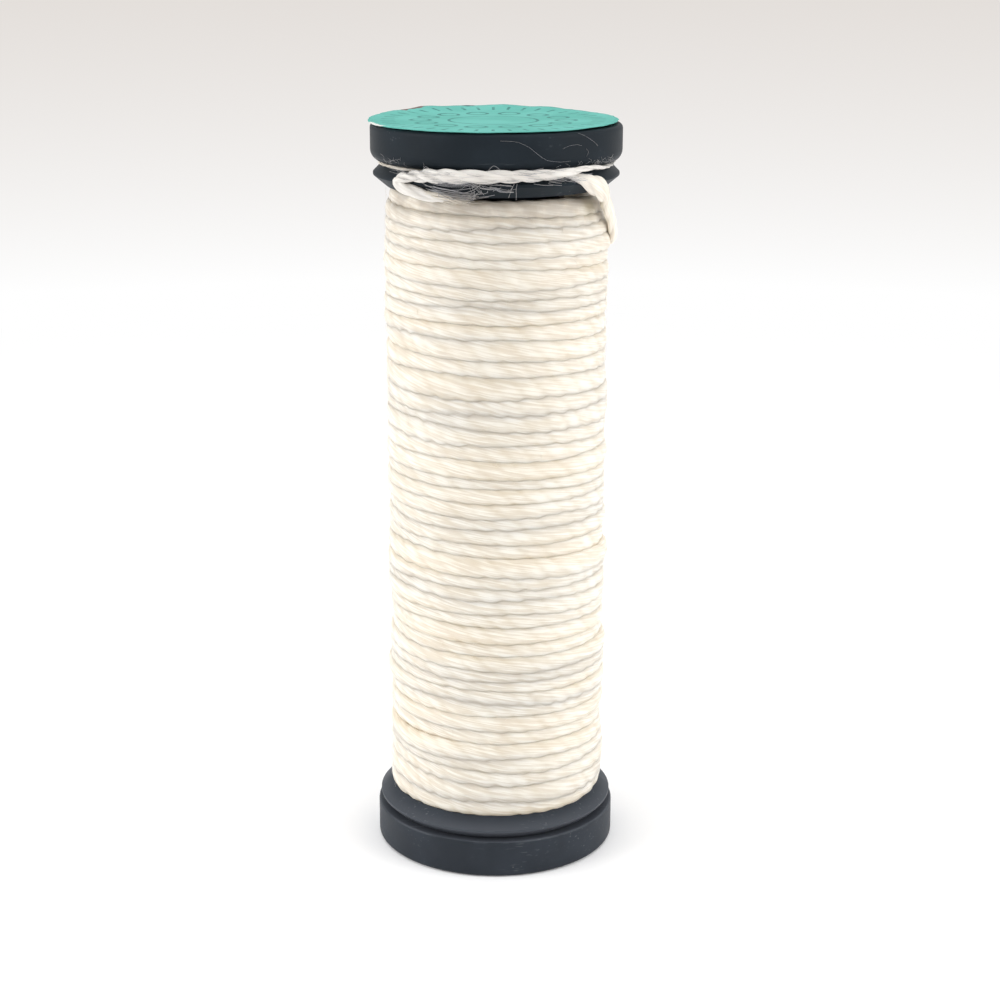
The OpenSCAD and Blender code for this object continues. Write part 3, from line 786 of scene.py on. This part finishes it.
# Each row: azimuth, distance below the ridge, surface (0 winding, 1 lip edge), distance out
# from that surface, and half thickness radially and across
locked_route = [
    (14, 5.09, 0, -0.2, 0.36, 0.4), (6, 5.04, 0, 0, 0.36, 0.42), (-2, 4.85, 0, 0.22, 0.34, 0.45),
    (-9, 4.3, 0, 0.4, 0.32, 0.5), (-15, 3.5, 0, 0.42, 0.3, 0.52), (-21, 2.7, 0, 0.44, 0.3, 0.56),
    (-27, 2.0, 0, 0.5, 0.29, 0.6), (-32, 1.5, 1, 0.05, 0.28, 0.66), (-37, 1.12, 1, 0.22, 0.25, 0.7),
    (-41, 0.86, 1, 0.27, 0.22, 0.68), (-45, 0.62, 1, 0.24, 0.2, 0.6), (-49, 0.4, 1, 0.17, 0.18, 0.4),
    (-53, 0.18, 1, 0.02, 0.16, 0.24), (-57, 0.04, 1, -0.17, 0.17, 0.14), (-61, -0.08, 1, -0.36, 0.22, 0.07),
    (-66, -0.1, 1, -0.52, 0.36, 0.07), (-73, -0.1, 1, -0.7, 0.42, 0.06), (-80, -0.1, 1, -0.88, 0.4, 0.08),
    (-87, -0.1, 1, -1.08, 0.36, 0.14), (-96, -0.05, 1, -1.15, 0.35, 0.32), (-110, 0, 1, -1.15, 0.35, 0.34),
    (-352, 0, 1, -1.15, 0.35, 0.34), (-360, -0.1, 1, -1.1, 0.36, 0.16), (-366, -0.1, 1, -0.92, 0.42, 0.07),
    (-373, -0.1, 1, -0.66, 0.4, 0.06), (-380, -0.11, 1, -0.42, 0.3, 0.07), (-387, -0.13, 1, -0.2, 0.22, 0.1),
    (-394, -0.2, 1, 0.02, 0.2, 0.12), (-401, -0.3, 1, 0.18, 0.2, 0.15), (-408, -0.33, 1, 0.36, 0.2, 0.19),
    (-415, -0.24, 1, 0.42, 0.24, 0.25), (-422, -0.13, 1, 0.36, 0.28, 0.31), (-432, -0.05, 1, 0.2, 0.31, 0.38),
    (-445, -0.03, 1, 0.2, 0.31, 0.42), (-460, 0, 1, 0.22, 0.31, 0.46), (-474, 0.02, 1, 0.22, 0.31, 0.47),
    (-484, 0.08, 1, 0.25, 0.31, 0.44), (-490, 0.18, 1, 0.28, 0.31, 0.36), (-495, 0.34, 1, 0.3, 0.31, 0.36),
    (-497.3, 0.55, 1, 0.34, 0.32, 0.4), (-496.2, 0.78, 1, 0.3, 0.32, 0.4), (-493, 1.0, 1, 0.2, 0.31, 0.42),
    (-489, 1.17, 1, 0.02, 0.29, 0.41), (-484.5, 1.32, 1, -0.22, 0.26, 0.4), (-479, 1.45, 1, -0.34, 0.2, 0.34),
]
# The end starts under the winding's turns, and it tapers off where it was cut
under_turns_rows = [(24, 5.12, 6.6, 0.3, 0.36), (19, 5.11, 6.85, 0.34, 0.38)]
cut_rows = [(-475.5, 1.5, 7.6, 0.12, 0.24), (-472.5, 1.52, 7.5, 0.04, 0.1)]
rows = [(a, below, surface_r[lip] + off_it, *halves) for a, below, lip, off_it, *halves in locked_route]
route = from_rows(under_turns_rows + rows + cut_rows)
# Painted shade in the furrows and flanks of the locked end, and where it turns greyer
grey_gap_shade, greyer_from = (0.58, 0.53, 0.47, 1), 10 * mm
grey_silk = silk("handled_silk_thread", silk_light, silk_shade, grey_gap_shade, 0.25, greyer_from)
# The plies part where the end has left the winding
ply_depth = np.interp(route[4], (9 * mm, 14 * mm), (wound_ply, 0.44))
locked = lay_strands("locked_thread_end", [route], 24, ply_depth, 2.1, grey_silk, wound_lay)
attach(locked, "spool")
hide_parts("locked_thread")


# ---- Loose filaments ----
# Single filaments that have worked loose from the locked end. They sag from it in a garland
# over the top lip, stand off it, splay from its cut end and lie in the groove round the back.
dice = np.random.default_rng(31)
# The lip is upright down to here below its ridge, and then slopes in
upright, lip_slope = 0.35, 0.45


def hair(azimuth, below, radius, thick):
    """One filament along azimuths and distances below the ridge, close in front of the lip."""
    out = radius - lip_slope * np.clip(below - upright, 0, 2) + dice.normal(0, 0.012, len(below))
    halves = thick * np.ones(len(below))
    return from_rows(np.stack([azimuth, below, out, halves, halves], 1))


# Azimuth and distance below the ridge of the wisps that hang from the turn of the thread,
# and how many filaments each has
wisps = [
    [(-126, 0.3), (-121, 0.67), (-117, 0.78), (-112, 0.89), (-107, 1.04), (-103, 1.08),
     (-100, 0.9), (-96, 0.6), (-92, 0.4)],
    [(-125, 0.5), (-119, 0.93), (-115, 1.1), (-109, 1.23), (-104, 1.25), (-100, 1.12),
     (-96, 0.85), (-91, 0.62), (-87, 0.5)],
    [(-121, 0.9), (-117, 1.1), (-113, 1.35), (-109, 1.41), (-104, 1.38), (-99, 1.24),
     (-94, 1.12), (-90, 1.05)],
    [(-99, 0.45), (-96, 0.7), (-93, 0.74), (-91, 0.66), (-88, 0.79), (-85.5, 0.84),
     (-83, 0.72), (-81, 0.45)],
    [(-130, 0.1), (-124, 0.36), (-118, 0.5), (-112, 0.62), (-106, 0.6), (-101, 0.42),
     (-97, 0.3)],
]
wisp_amounts = (6, 6, 5, 7, 7)
garland = []
for wisp, amount in zip(wisps, wisp_amounts):
    azimuth, below = np.array(wisp, float).T
    for _ in range(amount):
        first, last = dice.integers(0, 3), len(wisp) - dice.integers(0, 4)
        gone = dice.normal(0, 0.05) + np.linspace(dice.normal(0, 0.05), dice.normal(0, 0.07), last - first)
        shifted = azimuth[first:last] + dice.normal(0, 1.2, last - first)
        lowered = below[first:last] + gone + dice.normal(0, 0.02, last - first)
        garland.append(hair(shifted, lowered, dice.uniform(8.24, 8.42), dice.uniform(0.09, 0.16) ** 2))
# A few filaments fan out below the middle of the garland
fan_amount, fan_at, fan_r = 6, (-107, -97), 8.34
for _ in range(fan_amount):
    share = np.linspace(0, 1, 5)
    azimuth = dice.uniform(*fan_at) + (dice.uniform(-7, 7) + dice.normal(0, 0.4, 5)) * share
    below = 0.45 + dice.uniform(0.4, 0.75) * share
    garland.append(hair(azimuth, below, fan_r, dice.uniform(0.008, 0.014)))
# Azimuth and distance below the ridge of single filaments that hang down or stand up
loners = [
    [(-81.3, 0.4), (-81.5, 0.75), (-81.3, 1.1), (-81.1, 1.45)],
    [(-82.5, 0.4), (-83.6, 0.8), (-84.6, 1.3)],
    [(-99.3, 1), (-100, 1.29), (-101.4, 1.53), (-103.2, 1.68)],
    [(-98.6, 1), (-99.6, 1.3), (-100.6, 1.5)],
    [(-94, -0.3), (-92.9, -0.5), (-91.1, -0.72), (-89.4, -0.6), (-88.1, -0.4)],
    [(-123, -0.2), (-121, -0.52), (-118, -0.3)],
]
loner_r, loner_thick = 8.5, 0.014
for loner in loners:
    azimuth, below = np.array(loner, float).T
    garland.append(hair(azimuth, below, loner_r, loner_thick))
# Most lie along the thread across the front
front_amount, front_at, front_r = 110, (-142, -52), (8.5, 8.66)
for _ in range(front_amount):
    share = np.linspace(0, 1, 6)
    azimuth = dice.uniform(*front_at) + dice.uniform(4, 11) * share
    below = dice.uniform(-0.4, 0.42) + dice.uniform(-0.2, 0.2) * share + 0.12 * share * (1 - share)
    garland.append(hair(azimuth, below, dice.uniform(*front_r), dice.uniform(0.006, 0.013)))
# Colours of the loose filaments; their gap colour is painted shade in the furrows
hair_light, hair_shade, hair_gap_shade = (0.5, 0.52, 0.56, 1), (0.28, 0.3, 0.34, 1), (0.3, 0.3, 0.32, 1)
hair_silk = silk("loose_silk", hair_light, hair_shade, hair_gap_shade, 0)
loose = lay_strands("loose_filaments", garland, 5, 0, 2, hair_silk)

# The cut end splays into thicker filaments
frayed = []
frayed_amount, cut_at = 40, (-130, -122)
for _ in range(frayed_amount):
    start = dice.uniform(*cut_at)
    reach = dice.uniform(8, 26)
    drop = dice.uniform(0.1, 0.75)
    thick = dice.uniform(0.03, 0.1)
    rows = []
    for t in (0, 0.3, 0.6, 1):
        half = thick * (1 - 0.8 * t)
        below = 1.1 + dice.uniform(0, 0.1) + drop * t + dice.normal(0, 0.04)
        rows.append((start + reach * t, below, 8.0 - 0.5 * t + dice.normal(0, 0.04), half, half))
    frayed.append(from_rows(rows))
frayed = lay_strands("frayed_end", frayed, 6, 0, 2, grey_silk)

# Filaments lie in the groove from the left side round the back to the right side
fringe = []
groove_amount, groove_from, groove_to, groove_r = 16, -128, -400, (7.48, 7.7)
for i in range(groove_amount):
    azimuth = np.arange(groove_from, groove_to, -6)
    out = dice.uniform(*groove_r) + 0.06 * ripple(azimuth / 360, 40 + i, (0.21, 0.13, 0.05))
    below = -0.1 + 0.07 * ripple(azimuth / 360, 60 + i, (0.17, 0.11, 0.04))
    halves = dice.uniform(0.025, 0.045) * np.ones(len(azimuth))
    fringe.append(from_rows(np.stack([azimuth, below, out, halves, halves], 1), 0.3))
fringe = lay_strands("groove_filaments", fringe, 5, 0, 2, grey_silk)
for piece in (loose, frayed, fringe):
    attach(piece, "spool")
    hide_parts("locked_thread")

# Azimuth, height and radius of the filaments that cling to the side of the top cap
cap_hairs = [
    [(-88.4, 49.48, 8.27), (-83.3, 49.45, 8.28), (-79.9, 49.35, 8.29), (-75.9, 49.07, 8.29),
     (-73.3, 48.78, 8.28), (-70.5, 48.47, 8.29), (-67.3, 48.23, 8.29), (-61.5, 48.1, 8.28),
     (-55.8, 48.12, 8.27)],
    [(-52.2, 49.81, 8.27), (-48.7, 49.63, 8.29), (-45, 49.38, 8.28), (-42.3, 49.16, 8.29),
     (-39.4, 48.88, 8.27)],
    [(-60, 48.9, 8.27), (-57, 49.05, 8.29), (-53, 49.1, 8.28), (-50, 49.02, 8.27)],
    [(-47, 48.3, 8.27), (-46, 48.6, 8.29), (-47.5, 48.8, 8.28)],
]
cap_hair_half = 0.006
# Short ones gather on the cap's lower edge at the left and the right, by azimuth and number
cap_edge_z, edge_hairs = 47.62, ((-146, 14), (-38, 26))
for side, amount in edge_hairs:
    for _ in range(amount):
        azimuth, z = dice.normal(side, 8), cap_edge_z + abs(dice.normal(0, 0.16))
        middle, tip = azimuth + dice.uniform(-3, 3, 2)
        cap_hairs.append([(azimuth, z, 8.16), (middle, z + 0.1, 8.26), (tip, z + 0.26, 8.27)])
clinging = []
for cap_hair in cap_hairs:
    clinging.append(from_rows([(a, ridge - z, r, cap_hair_half, cap_hair_half) for a, z, r in cap_hair]))
clinging = lay_strands("clinging_filaments", clinging, 5, 0, 2, hair_silk)
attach(clinging, "top_cap")
